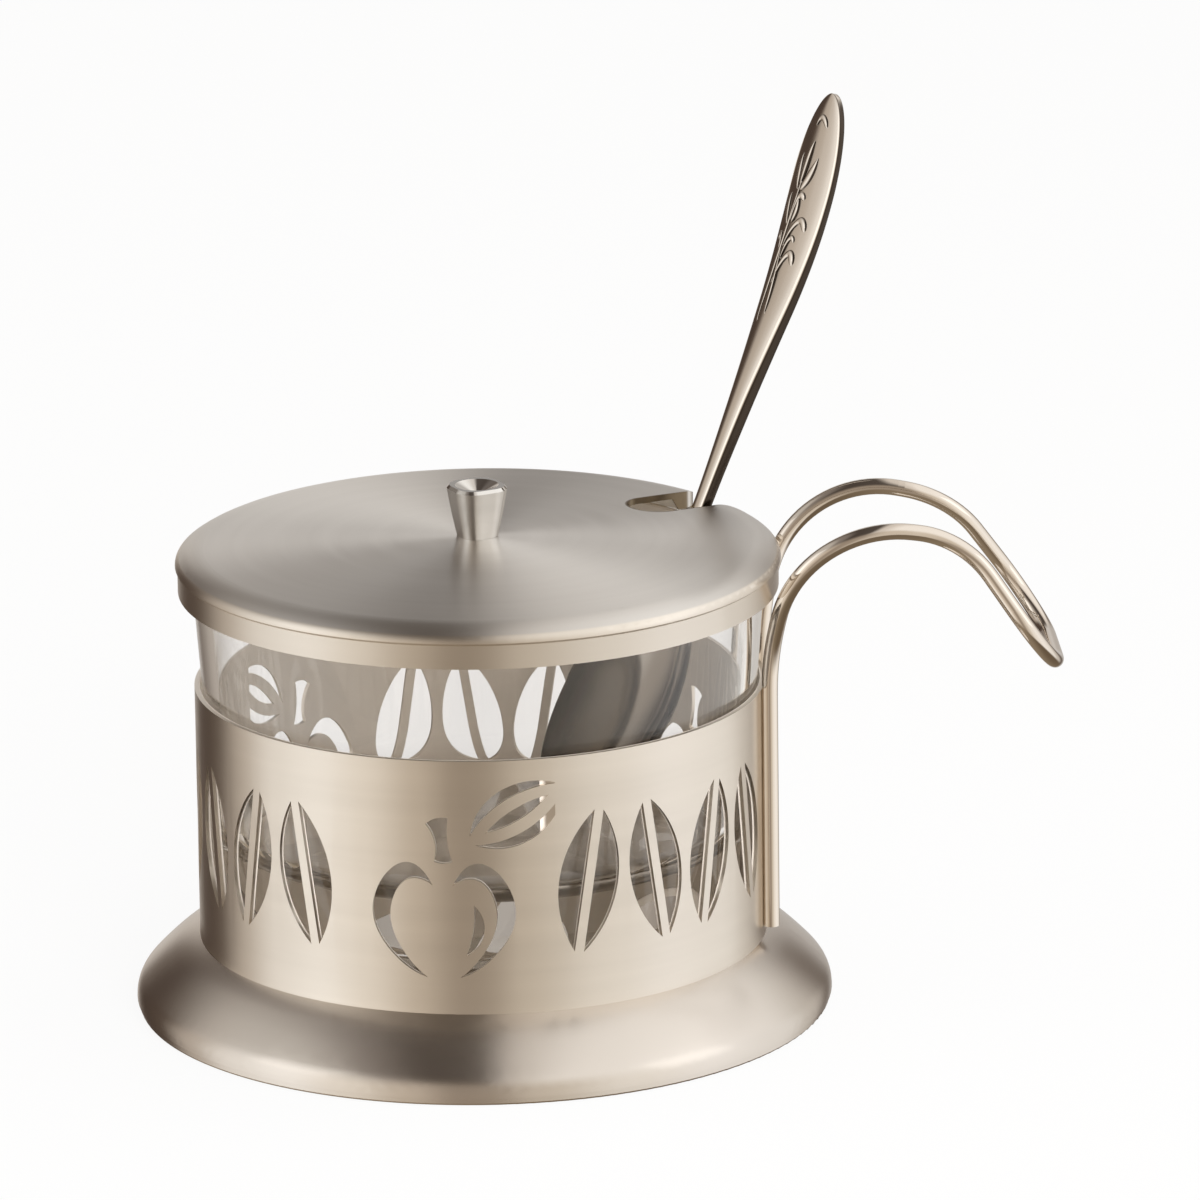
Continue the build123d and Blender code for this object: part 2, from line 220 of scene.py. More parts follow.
class Tree:
    """Adds nodes to a material or a world."""

    def __init__(self, owner):
        owner.use_nodes = True
        self.owner = owner
        self.nodes = owner.node_tree.nodes
        self.links = owner.node_tree.links

    def node(self, kind, settings=None, inputs=None, output=0):
        """One node: its settings first, then the values or links of its sockets."""
        made = self.nodes.new(kind)
        for name, setting in (settings or {}).items():
            setattr(made, name, setting)
        for name, value in (inputs or {}).items():
            self.feed(made.inputs[name], value)
        return Value(self, made.outputs[output])

    def feed(self, socket, value):
        if isinstance(value, Value):
            self.links.new(value.socket, socket)
        else:
            socket.default_value = value

    def parts(self, vector):
        """The x, y and z of a vector."""
        split = self.nodes.new("ShaderNodeSeparateXYZ")
        self.feed(split.inputs[0], vector)
        return [Value(self, output) for output in split.outputs]

    def join(self, x, y, z):
        return self.node("ShaderNodeCombineXYZ", None, {0: x, 1: y, 2: z})

    def place(self):
        """Where a point of the piece is, in metres."""
        return self.node("ShaderNodeTexCoord", output="Object")

    def facing(self):
        """The x, y and z of the way that a point of the piece faces."""
        return self.parts(self.node("ShaderNodeTexCoord", output="Normal"))

    def noise(self, vector, scale, detail=2.0):
        return self.node("ShaderNodeTexNoise", None, {"Vector": vector, "Scale": scale, "Detail": detail})

    def in_sight(self):
        """1 for what the camera sees, straight or through the glass."""
        seen = self.node("ShaderNodeLightPath", output="Is Camera Ray")
        through = self.node("ShaderNodeLightPath", output="Is Transmission Ray")
        mirrored = self.node("ShaderNodeLightPath", output="Glossy Depth")
        return seen + through * mirrored.math("LESS_THAN", 0.5)

    def ramp(self, value, stops):
        """A colour that changes smoothly through stops of place and colour."""
        made = self.nodes.new("ShaderNodeValToRGB")
        made.color_ramp.interpolation = "EASE"
        elements = made.color_ramp.elements
        while len(elements) < len(stops):
            elements.new(0.5)
        for element, (place, colour) in zip(elements, stops):
            element.position = place
            element.color = opaque(colour)
        self.feed(made.inputs[0], value)
        return Value(self, made.outputs[0])

    def blend(self, share, first, second):
        """A colour between two others."""
        made = self.nodes.new("ShaderNodeMix")
        made.data_type = "RGBA"
        self.feed(made.inputs["Factor"], share)
        self.feed(made.inputs[6], first)
        self.feed(made.inputs[7], second)
        return Value(self, made.outputs[2])


class Finish(Tree):
    """A material with one Principled shader."""

    def __init__(self, name, **constants):
        super().__init__(bpy.data.materials.new(name))
        self.shader = self.nodes["Principled BSDF"]
        for socket, value in constants.items():
            self.shader.inputs[socket.replace("_", " ")].default_value = value

    def set(self, socket, value):
        self.feed(self.shader.inputs[socket], value)

    def bump(self, height, depth, strength=1.0):
        self.set("Normal", self.node(
            "ShaderNodeBump", None, {"Height": height, "Distance": depth, "Strength": strength}, "Normal"
        ))


def opaque(colour):
    return (*colour, 1.0)


def shaded(colour, share):
    """A colour at so much of its lightness."""
    return [channel * share for channel in colour]


# ---------------------------------------------------------------- finishes
DULL_EXTRA = 0.15                    # how much rougher steel is where it was left dull
PEEL_SCALE = 260.0                   # dimples of polished steel per metre
PEEL_DEPTH = 0.01 * MM
PEEL_STRENGTH = 0.3
SMEAR_SCALE = 55.0                   # polishing marks per metre
SMEAR_SWING = 0.05                   # what they add to the roughness
SMEAR_SHADE = 0.92                   # and what they leave of the colour
RIPPLE_SCALE = 70.0                  # ripples of the glass per metre
RIPPLE_DEPTH = 0.03 * MM
RIPPLE_STRENGTH = 0.25
IN_POT_PAINTED_SHADE = 0.5                   # painted shade: lightness of the spoon where it stands in the pot
IN_POT_EDGE = (4 * MM, -6 * MM)      # where that begins and is full, from the lid's seat
TOP_SHADE_FACING = (0.90, 0.99)               # how squarely a face looks up where the painted top shade begins and is full


class SpunSteel(Finish):
    """Steel polished while it turned: faint rings, and highlights drawn out across them.

    Lines is the number of fine lines per metre of the profile.
    """

    FINE_REACH, BROAD_REACH = 1.6, 0.7   # how often lines change on their way round
    BROAD_SHARE = 0.13                   # number of broad lines for each fine one
    CLOUDS = 28.0                        # dull patches per metre
    LINE_SWING, CLOUD_SWING = 0.05, 0.04  # how much each changes the roughness
    LINE_DEPTH = 0.0008 * MM
    PATCHES = (0.3, 0.75)                # where a darker patch begins and is full
    PATCH_SHADE = 0.95

    def __init__(self, name, colour, roughness, lines, anisotropic):
        super().__init__(name, Metallic=1.0, Anisotropic=anisotropic, Anisotropic_Rotation=0.25)
        self.x, self.y, self.z = self.parts(self.place())
        self.radius = (self.x * self.x + self.y * self.y) ** 0.5
        fine = self.lines(lines, self.FINE_REACH)
        broad = self.lines(lines * self.BROAD_SHARE, self.BROAD_REACH)
        cloud = self.noise(self.place(), self.CLOUDS)
        self.rough = roughness + (fine - 0.5) * self.LINE_SWING + (broad - 0.5) * self.LINE_SWING
        self.rough = self.rough + (cloud - 0.5) * self.CLOUD_SWING
        self.height = fine * self.LINE_DEPTH
        self.shade = opaque(colour)
        self.tint((broad * 0.5 + cloud * 0.5).rise(*self.PATCHES), shaded(colour, self.PATCH_SHADE))

    def lines(self, count, reach):
        """Lines round the pot's axis: noise that changes fast along the profile and slowly round it."""
        round_x, round_y = self.x / self.radius * reach, self.y / self.radius * reach
        return self.noise(self.join(round_x, round_y, (self.radius + self.z) * count), 1.0, 3.0)

    def tint(self, share, colour):
        """Turns the steel to another colour where share is 1."""
        self.shade = self.blend(share, self.shade, opaque(colour))

    def made(self):
        self.set("Roughness", self.rough)
        self.set("Base Color", self.shade)
        self.bump(self.height, 1.0)
        return self.owner


def band_steel(colour):
    """The band's satin steel, left pale and matt inside, as it came from the mill."""
    steel = SpunSteel("band_steel", colour, roughness=0.32, lines=3200.0, anisotropic=0.8)
    bore = 1.0 - steel.radius.rise(BAND_BORE + 0.1 * MM, BAND_BORE + 0.4 * MM)
    steel.tint(bore, MILL_STEEL)
    steel.rough = steel.rough + bore * DULL_EXTRA
    steel.set("Metallic", 1.0 - bore)
    return steel.made()


def lid_steel(colour, skirt_colour):
    """The lid's steel: warmer down its skirt, with painted shade inside it and along the notch's cut edge."""
    steel = SpunSteel("lid_steel", colour, roughness=0.36, lines=3000.0, anisotropic=0.9)
    steel.tint(steel.radius.rise(LID_RADIUS - 0.9 * MM, LID_RADIUS - 0.45 * MM), skirt_colour)
    # painted shade: the inside of the lid is coloured darker brown
    within = 1.0 - steel.radius.rise(LID_RADIUS - 1.2 * MM, LID_RADIUS - 0.9 * MM)
    under = 1.0 - steel.z.rise(LID_SEAT, LID_SEAT + 0.3 * MM)
    steel.tint(within * under, LID_UNDERSIDE_SHADE)
    # painted shade: the notch's cut edge is coloured dark brown
    cos, sin = math.cos(NOTCH_AZIMUTH), math.sin(NOTCH_AZIMUTH)
    inwards = (steel.x * cos + steel.y * sin - NOTCH_END).math("MINIMUM", 0.0)
    across = steel.y * cos - steel.x * sin
    aside = (inwards * inwards + across * across) ** 0.5
    steel.tint(1.0 - aside.rise(NOTCH_HALF + 0.1 * MM, NOTCH_HALF + 0.4 * MM), NOTCH_EDGE_SHADE)
    return steel.made()


def polished_steel(name, colour, roughness, narrow=None, faces=(0.45, 0.84), level=None):
    """Bright steel with a slight orange-peel and faint polishing marks.

    Narrow is the way that the spoon's narrow sides face, which are rougher there and carry painted
    shade in dark brown, and faces says how squarely a side faces that way where this begins and is full.
    With it, what stands in the pot gets painted shade, darker up to the lid. Level is the colour
    of painted shade on what faces straight up.
    """
    finish = Finish(name, Metallic=1.0)
    place = finish.place()
    peel = finish.noise(place, PEEL_SCALE, 1.0)
    smears = finish.noise(place, SMEAR_SCALE, 3.0)
    rough = roughness + smears.rise(0.35, 0.8) * SMEAR_SWING
    shade = finish.blend(smears.rise(0.4, 0.75) * 0.5, opaque(colour), opaque(shaded(colour, SMEAR_SHADE)))
    if narrow:
        # painted shade: the spoon is coloured darker where it stands in the pot
        inside = finish.parts(place)[2].rise(*(LID_SEAT + edge for edge in IN_POT_EDGE))
        shade = finish.blend(inside, shade, opaque(shaded(colour, IN_POT_PAINTED_SHADE)))
        # painted shade: the narrow sides are coloured dark brown, and made rougher too
        x, y, _ = finish.facing()
        dull_shaded_side = (x * narrow[0] + y * narrow[1]).math("ABSOLUTE").rise(*faces)
        rough = rough + dull_shaded_side * DULL_EXTRA
        shade = finish.blend(dull_shaded_side, shade, opaque(NARROW_SIDE_SHADE))
    if level:
        # painted shade: faces that look straight up are coloured darker
        shade = finish.blend(finish.facing()[2].rise(*TOP_SHADE_FACING), shade, opaque(level))
    finish.set("Roughness", rough)
    finish.set("Base Color", shade)
    finish.bump(peel, PEEL_DEPTH, PEEL_STRENGTH)
    return finish.owner


def clear_glass(name, tint, density):
    """Pressed glass: nearly colourless where it is thin, faintly smoky where it is thick.

    Lamps and scattered light pass straight through it, and so does what metal mirrors.
    """
    finish = Finish(name, Roughness=0.0, IOR=1.5, Transmission_Weight=1.0, Base_Color=opaque(GLASS_SKIN))
    finish.bump(finish.noise(finish.place(), RIPPLE_SCALE, 1.0), RIPPLE_DEPTH, RIPPLE_STRENGTH)
    finish.node("ShaderNodeVolumeAbsorption", None, {"Color": opaque(tint), "Density": density})
    absorption = finish.nodes["Volume Absorption"]
    surface = finish.nodes["Material Output"].inputs
    finish.links.new(absorption.outputs[0], surface["Volume"])
    clear = finish.node("ShaderNodeBsdfTransparent", None, {"Color": opaque(UNBENT_LIGHT)})
    bent = finish.node("ShaderNodeLightPath", output="Is Transmission Ray")
    mirrored = finish.node("ShaderNodeLightPath", output="Is Glossy Ray") * (1.0 - bent)
    spread = finish.node("ShaderNodeLightPath", output="Is Diffuse Ray")
    shadow = finish.node("ShaderNodeLightPath", output="Is Shadow Ray")
    straight = (mirrored + spread + shadow).math("MINIMUM", 1.0)
    glass = Value(finish, finish.shader.outputs[0])
    mixed = finish.node("ShaderNodeMixShader", None, {0: straight, 1: glass, 2: clear})
    finish.feed(surface["Surface"], mixed)
    return finish.owner


def dress(node, material):
    """Gives a CAD node its finish."""
    mesh = frame["nodes"][node].data
    mesh.materials.clear()
    mesh.materials.append(material)


# ---------------------------------------------------------------- operators
class HONEYPOT_OT_holder(bpy.types.Operator):
    """Finish the foot, the pierced band and the wire handle"""

    bl_idname = "honeypot.holder"
    bl_label = "Finish Holder"

    def execute(self, context):
        looks = context.scene.pot_finishes
        foot = SpunSteel("foot_steel", looks.foot_colour, roughness=0.25, lines=2600.0, anisotropic=0.8)
        dress("base_foot", foot.made())
        dress("pierced_band", band_steel(looks.band_colour))
        dress("handle_wire", polished_steel("wire_steel", looks.wire_colour, roughness=0.05))
        return {"FINISHED"}


class HONEYPOT_OT_lid(bpy.types.Operator):
    """Finish the lid, its knob, washer and screw"""

    bl_idname = "honeypot.lid"
    bl_label = "Finish Lid"

    def execute(self, context):
        looks = context.scene.pot_finishes
        dress("lid_shell", lid_steel(looks.lid_colour, looks.band_colour))
        dress("lid_knob", polished_steel("knob_steel", looks.knob_colour, roughness=0.05, level=KNOB_TOP_SHADE))
        plain = polished_steel("screw_steel", looks.knob_colour, roughness=0.22)
        dress("knob_screw", plain)
        dress("knob_washer", plain)
        return {"FINISHED"}


class HONEYPOT_OT_bowl(bpy.types.Operator):
    """Finish the glass bowl"""

    bl_idname = "honeypot.bowl"
    bl_label = "Finish Bowl"

    def execute(self, context):
        looks = context.scene.pot_finishes
        dress("glass_bowl", clear_glass("bowl_glass", looks.glass_tint, looks.glass_density))
        return {"FINISHED"}


class SpoonShape:
    """The spoon as a function of the way along it and across it."""

    LEAN_TURN = (37.0 * MM, 47.0 * MM)      # where the scoop's lean gives way to the neck's
    TOP_TURN = (91.5 * MM, 113.5 * MM)      # where the stem straightens up
    STEP = 0.25 * MM                        # between the points of the middle line
    SQUARE_UP = (30.0 * MM, 52.0 * MM)      # where the section turns from a thin dish to a flat bar
    DISH_POWER, POWER_LOSS = 0.82, 0.36     # the dish's section, and how much less a flat bar's is
    DISH_FALL = 0.75                        # how steeply the dish falls from its edges
    SCOOP_HALF = 0.62 * MM                  # half thickness of the scoop's wall
    THICKEN = (0.7, 0.35)                   # where the wall gets thicker and over how far, in scoop lengths
    SHOULDER = 3.2 * MM                     # rounding between the scoop and the neck
    SHOULDER_REACH = 26 * MM                # from the scoop's middle to where that ends
    ROUND_END = 17.0 * MM                   # length of the stem's rounded end
    END_THIN = 0.7                          # how much thinner the end gets
    RIDGE = 0.2                             # where the face's two flanks meet, as a share of its half width
    RIDGE_ROUND = 0.05                      # its rounding, likewise
    RIDGE_RISE = 0.02                       # how far it stands above the plain section, likewise
    FLANK_FALL, FLANK_TILT = 0.16, 0.10     # fall of both flanks, and tilt of the whole face
    FLANK_START = (40 * MM, 60 * MM)        # where the ridge begins and is full
    # way along from the tip, half width and half thickness of the stem, in millimetres
    STEM = ((36, 3.2, 1.0), (46, 1.7, 1.1), (60, 1.75, 1.15), (74, 2.55, 1.3), (84, 3.55, 1.3),
            (96, 4.95, 1.25), (106, 5.85, 1.15), (115, 6.15, 1.05), (122, 6.3, 0.95), (129, 6.3, 0.85))

    def __init__(self, sizes):
        self.sizes = sizes
        self.line = [(sizes.tip_reach, sizes.tip_level)]
        for step in range(int(sizes.length / self.STEP) + 2):
            lean = self.lean((step + 0.5) * self.STEP)
            reach, level = self.line[-1]
            self.line.append((reach + math.sin(lean) * self.STEP, level + math.cos(lean) * self.STEP))

    def lean(self, way):
        scoop, neck, top = self.sizes.scoop_lean, NECK_LEAN, self.sizes.top_lean
        low = ease(part_way(way, self.LEAN_TURN))
        high = clamp(part_way(way, self.TOP_TURN))
        return scoop + (neck - scoop) * low + (top - neck) * high

    def stem(self, way):
        """Half width and half thickness of the stem."""
        along = way / MM
        stations = self.STEM
        if along <= stations[0][0]:
            return stations[0][1] * MM, stations[0][2] * MM
        for index in range(len(stations) - 1):
            here, there = stations[index], stations[index + 1]
            if along <= there[0]:
                break
        before = stations[max(index - 1, 0)]
        after = stations[min(index + 2, len(stations) - 1)]
        run = there[0] - here[0]
        share = clamp((along - here[0]) / run)
        return tuple(
            cubic(share, run, here[k], there[k], slope(before, there, k), slope(here, after, k)) * MM
            for k in (1, 2)
        )

    def outline(self, way):
        """Half width, half thickness and dish of the spoon."""
        sizes = self.sizes
        half = sizes.scoop_length / 2
        past = clamp((way - sizes.length + self.ROUND_END) / self.ROUND_END)
        across = max(0.0, 1.0 - ((way - half) / half) ** 2)
        scoop = sizes.scoop_width / 2 * math.sqrt(across)
        dish = sizes.scoop_depth * across ** self.DISH_FALL
        width, thickness = self.stem(way)
        width *= math.sqrt(1.0 - past ** 2.0)
        thickness *= math.sqrt(1.0 - self.END_THIN * past ** 8)
        if way < half:
            return scoop, self.SCOOP_HALF, dish
        soft = self.SHOULDER * (1.0 - ease((way - half) / self.SHOULDER_REACH))
        if scoop:
            width = (scoop + width + math.sqrt((scoop - width) ** 2 + soft ** 2)) / 2
        else:
            width += soft / 2
        start, reach = self.THICKEN
        thick = ease((way - start * sizes.scoop_length) / (reach * sizes.scoop_length))
        return width, self.SCOOP_HALF * (1 - thick) + thickness * thick, dish

    def power(self, way):
        """How square the section is: 1 is an ellipse, and less is nearer to a flat bar."""
        return self.DISH_POWER - self.POWER_LOSS * ease(part_way(way, self.SQUARE_UP))

    def turn(self, way, across):
        """The turn at which the section's face is so far across."""
        share = clamp(abs(across) / max(self.outline(way)[0], 0.01 * MM) * 0.999)
        return math.acos(math.copysign(share ** (1.0 / self.power(way)), across))

    def point(self, way, turn):
        """A point on the skin: turn runs round the section, from 0 at one edge over the hollow side."""
        way = min(max(way, 0.0), self.sizes.length)
        step = way / self.STEP
        low = int(step)
        (r0, z0), (r1, z1) = self.line[low], self.line[low + 1]
        reach, level = r0 + (r1 - r0) * (step - low), z0 + (z1 - z0) * (step - low)
        lean = self.lean(way)
        width, thickness, dish = self.outline(way)
        side, face = math.cos(turn), math.sin(turn)
        power = self.power(way)
        share = math.copysign(abs(side) ** power, side)
        across = width * share
        lift = thickness * math.copysign(abs(face) ** power, face)
        lift -= dish * (1.0 - side * side) ** self.DISH_FALL
        if face > 0.0:
            aside = share - self.RIDGE
            flank = self.FLANK_FALL * math.hypot(aside, self.RIDGE_ROUND) + self.FLANK_TILT * aside
            fall = (flank - self.RIDGE_RISE) * width
            lift -= fall * face ** power * ease(part_way(way, self.FLANK_START))
        return spoon_space(reach - lift * math.cos(lean), across, level + lift * math.sin(lean))


def clamp(value):
    return min(max(value, 0.0), 1.0)


def ease(value):
    """0 below 0, 1 above 1, and smooth between them."""
    value = clamp(value)
    return value * value * (3.0 - 2.0 * value)


def part_way(way, stretch):
    """How far along a stretch a place is: 0 at its start and 1 at its end."""
    start, end = stretch
    return (way - start) / (end - start)


def slope(first, last, index):
    """Rise per millimetre between two stations."""
    return (last[index] - first[index]) / (last[0] - first[0])


def cubic(share, run, start, end, slope_in, slope_out):
    """Hermite curve between two stations."""
    s2, s3 = share * share, share ** 3
    bend = (s3 - 2 * s2 + share) * slope_in + (s3 - s2) * slope_out
    return start * (2 * s3 - 3 * s2 + 1) + end * (3 * s2 - 2 * s3) + bend * run


def spoon_space(reach, across, level):
    """From the spoon's own plane to the pot's frame."""
    cos, sin = math.cos(SPOON_AZIMUTH), math.sin(SPOON_AZIMUTH)
    return Vector((reach * cos - across * sin, reach * sin + across * cos, level))


def finished(name, shape, material, body):
    """Turns a bmesh into a smooth object that rides on a body."""
    bmesh.ops.recalc_face_normals(shape, faces=shape.faces)
    mesh = bpy.data.meshes.new(name)
    shape.to_mesh(mesh)
    shape.free()
    mesh.materials.append(material)
    for face in mesh.polygons:
        face.use_smooth = True
    piece = bpy.data.objects.new(name, mesh)
    bpy.context.scene.collection.objects.link(piece)
    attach(piece, body)
    return piece


class HONEYPOT_OT_spoon(bpy.types.Operator):
    """Make the spoon, with its scoop drawn smoothly into the neck"""

    bl_idname = "honeypot.spoon"
    bl_label = "Make Spoon"

    RINGS = 200
    ROUND = 56
    CROWDING = 0.9      # how much closer the rings stand at both ends

    def execute(self, context):
        shape = SpoonShape(context.scene.pot_spoon)
        skin = bmesh.new()
        bmesh.ops.create_grid(skin, x_segments=self.RINGS, y_segments=self.ROUND, size=0.5)
        for vertex in skin.verts:
            share = vertex.co.x + 0.5
            way = (share - self.CROWDING * math.sin(math.tau * share) / math.tau) * shape.sizes.length
            vertex.co = shape.point(way, (vertex.co.y + 0.5) * math.tau)
        bmesh.ops.remove_doubles(skin, verts=skin.verts, dist=0.001 * MM)
        colour = context.scene.pot_finishes.spoon_colour
        # the spoon's narrow sides get painted shade in dark brown
        steel = polished_steel("spoon_steel", colour, roughness=0.10, narrow=spoon_space(0.0, 1.0, 0.0))
        spoon = finished("teaspoon", skin, steel, "spoon_body")
        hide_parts("spoon")
        return {"FINISHED"}


class HONEYPOT_OT_sprig(bpy.types.Operator):
    """Raise a sprig with hanging buds on the broad end of the spoon"""

    bl_idname = "honeypot.sprig"
    bl_label = "Raise Sprig"

    # each stroke's start, bend and end as way along the spoon and across it,
    # then its half width at the start, half way and at the end, in millimetres
    STROKES = (
        ((88.0, 2.0), (101.0, 3.6), (114.0, 1.6), 0.30, 0.55, 0.40),    # stalk
        ((90.0, 0.4), (96.0, 0.6), (102.0, 2.6), 0.22, 0.42, 0.25),
        ((95.0, 2.0), (104.5, -0.6), (99.0, -2.2), 0.30, 0.62, 1.05),   # hanging buds
        ((101.5, 2.2), (110.0, -0.9), (105.0, -2.8), 0.30, 0.60, 1.05),
        ((99.5, 1.6), (105.5, 0.4), (102.8, -0.9), 0.25, 0.45, 0.60),
        ((100.0, 3.0), (106.0, 4.2), (102.5, 4.6), 0.25, 0.45, 0.60),
        ((105.0, 2.6), (107.5, 4.8), (111.0, 4.5), 0.25, 0.60, 0.30),
        ((105.5, 2.2), (113.0, 1.6), (110.2, -0.6), 0.25, 0.55, 0.85),  # flower
        ((106.0, 1.6), (108.0, 0.2), (110.6, 1.2), 0.25, 0.60, 0.30),
        ((111.5, 1.6), (114.0, -0.6), (118.0, -1.4), 0.25, 0.85, 0.15),  # leaves
        ((112.5, 2.0), (116.0, 1.8), (120.5, 0.6), 0.25, 0.85, 0.15),
        ((111.5, 2.6), (114.5, 4.2), (118.0, 3.6), 0.25, 0.80, 0.15),
        ((122.6, 1.6), (126.2, 0.6), (122.8, -1.6), 0.20, 0.55, 0.60),  # end scroll
    )
    LONG, ROUND = 20, 8     # faces along a stroke and across it
    SUNK = 0.05 * MM        # how far a stroke's edge lies under the stem's skin
    THIN_RISE = 0.4         # height of the thinnest stroke, as a share of the relief
    FULL_WIDTH = 2.0        # half width, in millimetres, that would add a whole relief to that

    def execute(self, context):
        sizes = context.scene.pot_spoon
        shape = SpoonShape(sizes)
        relief = bmesh.new()
        for start, bend, end, *widths in self.STROKES:
            self.stroke(relief, shape, [Vector(point) for point in (start, bend, end)], widths, sizes.relief)
        colour = context.scene.pot_finishes.spoon_colour
        # the sprig's narrow sides get painted shade in dark brown too
        narrow = spoon_space(0.0, 1.0, 0.0)
        steel = polished_steel("sprig_steel", colour, roughness=0.12, narrow=narrow, faces=(0.30, 0.62))
        finished("spoon_sprig", relief, steel, "spoon_body")
        return {"FINISHED"}

    def stroke(self, relief, shape, path, widths, height):
        """A rounded ridge along a bent path, laid on the stem's face."""
        start, bend, end = path
        made = bmesh.ops.create_grid(relief, x_segments=self.LONG, y_segments=self.ROUND, size=1.0)
        for vertex in made["verts"]:
            share, side = (vertex.co.x + 1.0) / 2.0, vertex.co.y
            middle = start * (1.0 - share) ** 2 + bend * 2.0 * share * (1.0 - share) + end * share ** 2
            ahead = ((bend - start) * (1.0 - share) + (end - bend) * share).normalized()
            cap = math.sqrt(max(0.0, 1.0 - vertex.co.x ** 4))
            first, half_way, last = widths
            swell = first * (1.0 - share) + last * share
            swell += (half_way - (first + last) / 2.0) * 4.0 * share * (1.0 - share)
            spot = middle + Vector((-ahead.y, ahead.x)) * (swell * cap * side)
            way = spot.x * MM
            lean = shape.lean(way)
            rise = height * min(1.0, self.THIN_RISE + swell / self.FULL_WIDTH)
            rise = rise * cap * math.sqrt(max(0.0, 1.0 - side * side)) - self.SUNK
            base = shape.point(way, shape.turn(way, spot.y * MM))
            vertex.co = base + spoon_space(-rise * math.cos(lean), 0.0, rise * math.sin(lean))
        bmesh.ops.remove_doubles(relief, verts=made["verts"], dist=0.002 * MM)


# ---------------------------------------------------------------- studio
class HONEYPOT_OT_stage(bpy.types.Operator):
    """Set the camera, the floor and the soft light"""

    bl_idname = "honeypot.stage"
    bl_label = "Set Stage"

    AIM = Vector((0.0, 0.0, 40 * MM))       # what the camera is measured from
    AIM_OFFSET = (20.13 * MM, 26.96 * MM)   # right and up, to the middle of the picture
    SENSOR_WIDTH = 36.0                     # millimetres
    CLIP = (0.1, 50.0)
    FLOOR_SIZE = 12.0
    FLOOR_SINK = 0.02 * MM                  # so that it doesn't lie in the foot's own plane
    # name, turn from the camera, height, distance, side, power in watts, whether the metal shows it
    LAMPS = (
        ("key_softbox", -1.2, 0.9, 1.5, 0.9, 0.8, True),
        ("fill_softbox", 1.3, 0.9, 1.6, 0.9, 0.8, True),
        ("top_softbox", 0.0, 1.8, 0.1, 1.6, 9.0, False),
        ("front_softbox", 0.25, 0.5, 1.5, 1.0, 22.0, False),
    )

    def execute(self, context):
        studio = context.scene.pot_studio
        self.camera(context.scene, studio)
        self.floor(context.scene, studio)
        self.world(context.scene, studio)
        for name, turn, *sizes, shows in self.LAMPS:
            self.softbox(name, studio.azimuth + turn, *sizes).visible_glossy = shows
        context.scene.view_settings.view_transform = "Standard"
        return {"FINISHED"}

    def camera(self, scene, studio):
        turn, rise = studio.azimuth, studio.elevation
        back = Vector((math.sin(turn) * math.cos(rise), -math.cos(turn) * math.cos(rise), math.sin(rise)))
        right = Vector((math.cos(turn), math.sin(turn), 0.0))
        up = back.cross(right)
        place = self.AIM + back * studio.distance
        aim = self.AIM + right * self.AIM_OFFSET[0] + up * self.AIM_OFFSET[1]
        look = (aim - place).to_track_quat("-Z", "Y")
        data = bpy.data.cameras.new("front_camera")
        data.lens = studio.focal_length
        data.sensor_width = self.SENSOR_WIDTH
        data.clip_start, data.clip_end = self.CLIP
        camera = bpy.data.objects.new("front_camera", data)
        camera.location = place
        camera.rotation_mode = "QUATERNION"
        camera.rotation_quaternion = look @ Quaternion((0.0, 0.0, 1.0), studio.roll)
        scene.collection.objects.link(camera)
        scene.camera = camera

    def floor(self, scene, studio):
        """A pale floor that looks white but keeps a soft shadow."""
        shape = bmesh.new()
        bmesh.ops.create_grid(shape, x_segments=1, y_segments=1, size=self.FLOOR_SIZE / 2)
        mesh = bpy.data.meshes.new("studio_floor")
        shape.to_mesh(mesh)
        shape.free()
        floor = bpy.data.objects.new("studio_floor", mesh)
        floor.location.z = -self.FLOOR_SINK
        floor.visible_glossy = False
        scene.collection.objects.link(floor)
        tree = Tree(bpy.data.materials.new("studio_floor"))
        tree.nodes.clear()
        lit = tree.node("ShaderNodeBsdfDiffuse", None, {"Color": opaque(studio.floor_colour)})
        white = tree.node("ShaderNodeEmission", None, {"Color": opaque(WHITE), "Strength": 1.0})
        share = tree.in_sight() * studio.floor_white
        surface = tree.node("ShaderNodeMixShader", None, {0: share, 1: lit, 2: white})
        tree.links.new(surface.socket, tree.nodes.new("ShaderNodeOutputMaterial").inputs["Surface"])
        mesh.materials.append(tree.owner)

    # light of the room's sides, from the camera round by the right: degrees and colour
    SIDES = (
        (-180, (0.68, 0.66, 0.64)), (-168, (0.62, 0.57, 0.52)), (-158, (0.15, 0.12, 0.10)),
        (-150, (0.07, 0.05, 0.04)), (-132, (0.09, 0.065, 0.05)), (-112, (0.54, 0.48, 0.42)),
        (-92, (0.95, 0.92, 0.88)), (-68, (1.14, 1.12, 1.09)), (-48, (0.98, 0.92, 0.84)),
        (-26, (0.64, 0.56, 0.47)), (-9, (0.35, 0.29, 0.235)), (1, (0.38, 0.32, 0.26)),
        (17, (0.68, 0.61, 0.52)), (50, (0.97, 0.93, 0.87)), (80, (1.06, 1.04, 1.02)),
        (114, (0.94, 0.92, 0.89)), (134, (0.62, 0.58, 0.53)), (152, (0.16, 0.13, 0.11)),
        (166, (0.52, 0.49, 0.46)), (180, (0.68, 0.66, 0.64)),
    )
    # light from overhead, from the left at -1 to the right at 1, and colour
    CEILING = (
        (-1.0, (0.90, 0.88, 0.86)), (-0.62, (0.55, 0.52, 0.48)), (-0.45, (0.24, 0.21, 0.19)),
        (-0.25, (0.08, 0.065, 0.055)), (-0.02, (0.09, 0.075, 0.065)), (0.12, (0.74, 0.69, 0.64)),
        (0.35, (1.02, 0.99, 0.95)), (1.0, (1.12, 1.10, 1.08)),
    )
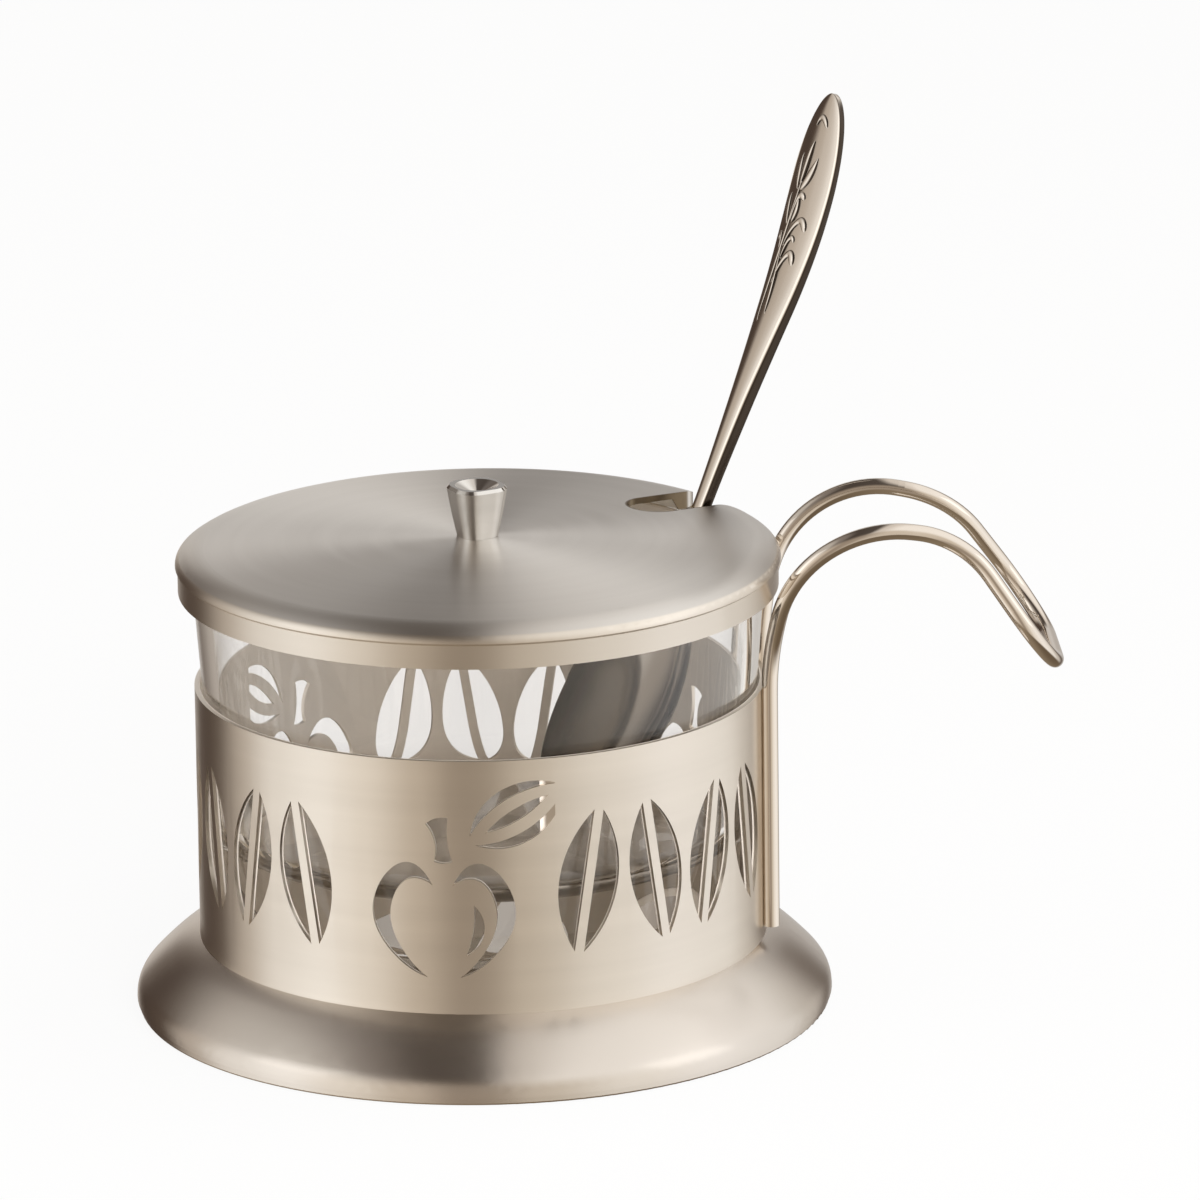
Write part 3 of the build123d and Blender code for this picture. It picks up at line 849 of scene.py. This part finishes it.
    # light from below, from the left at 0 to the right at 1, and colour
    TABLE = ((0.2, (0.30, 0.24, 0.17)), (0.8, (0.16, 0.12, 0.08)))
    TABLE_TOP = (-0.62, -0.42)      # where it gives way to the sides, as the sine of the height
    CEILING_FOOT = (0.22, 0.74)     # where the sides give way to the ceiling, likewise

    def world(self, scene, studio):
        """A room with broad bright and dark sides, which the metal shows."""
        world = bpy.data.worlds.new("studio_room")
        scene.world = world
        tree = Tree(world)
        x, y, z = tree.parts(tree.node("ShaderNodeTexCoord", output="Generated"))
        cos, sin = math.cos(studio.azimuth), math.sin(studio.azimuth)
        right = x * cos + y * sin
        near = x * sin - y * cos
        turn = right.math("ARCTAN2", near)
        stops = [((angle + 180) / 360, colour) for angle, colour in self.SIDES]
        sides = tree.ramp(turn / math.tau + 0.5, stops)
        stops = [((way + 1) / 2, colour) for way, colour in self.CEILING]
        ceiling = tree.ramp(right * 0.5 + 0.5, stops)
        above = tree.blend(z.rise(*self.CEILING_FOOT), sides, ceiling)
        light = tree.blend(z.rise(*self.TABLE_TOP), tree.ramp(right * 0.5 + 0.5, self.TABLE), above)
        room = tree.node("ShaderNodeBackground", None, {"Color": light, "Strength": 1.0})
        white = tree.node("ShaderNodeBackground", None, {"Color": opaque(WHITE), "Strength": 1.0})
        surface = tree.node("ShaderNodeMixShader", None, {0: tree.in_sight(), 1: room, 2: white})
        tree.links.new(surface.socket, tree.nodes["World Output"].inputs["Surface"])

    def softbox(self, name, turn, height, away, size, power):
        """A square lamp that faces the pot and isn't seen itself."""
        data = bpy.data.lights.new(name, "AREA")
        data.shape = "SQUARE"
        data.size = size
        data.energy = power
        light = bpy.data.objects.new(name, data)
        light.location = (math.sin(turn) * away, -math.cos(turn) * away, height)
        light.rotation_mode = "QUATERNION"
        light.rotation_quaternion = (self.AIM - light.location).to_track_quat("-Z", "Y")
        light.visible_camera = False
        bpy.context.scene.collection.objects.link(light)
        return light


# ---------------------------------------------------------------- panel
class HONEYPOT_PT_panel(bpy.types.Panel):
    """Lists the honey pot's operators and settings"""

    bl_idname = "HONEYPOT_PT_panel"
    bl_label = "Honey Pot"
    bl_space_type = "VIEW_3D"
    bl_region_type = "UI"
    bl_category = "Honey Pot"

    def draw(self, context):
        for operator in OPERATORS:
            self.layout.operator(operator.bl_idname)
        for group, settings in SETTINGS.items():
            box = self.layout.box()
            for name in settings.__annotations__:
                box.prop(getattr(context.scene, group), name)


SETTINGS = {"pot_finishes": PotFinishes, "pot_spoon": PotSpoonSizes, "pot_studio": PotStudio}
OPERATORS = (
    HONEYPOT_OT_holder,
    HONEYPOT_OT_lid,
    HONEYPOT_OT_bowl,
    HONEYPOT_OT_spoon,
    HONEYPOT_OT_sprig,
    HONEYPOT_OT_stage,
)
CLASSES = (*SETTINGS.values(), *OPERATORS, HONEYPOT_PT_panel)


def register():
    for entry in CLASSES:
        bpy.utils.register_class(entry)
    for group, settings in SETTINGS.items():
        setattr(bpy.types.Scene, group, bpy.props.PointerProperty(type=settings))


def unregister():
    for group in SETTINGS:
        delattr(bpy.types.Scene, group)
    for entry in reversed(CLASSES):
        bpy.utils.unregister_class(entry)


def main():
    register()
    bpy.ops.honeypot.holder()
    bpy.ops.honeypot.lid()
    bpy.ops.honeypot.bowl()
    bpy.ops.honeypot.spoon()
    bpy.ops.honeypot.sprig()
    bpy.ops.honeypot.stage()


if __name__ == "__main__":
    main()
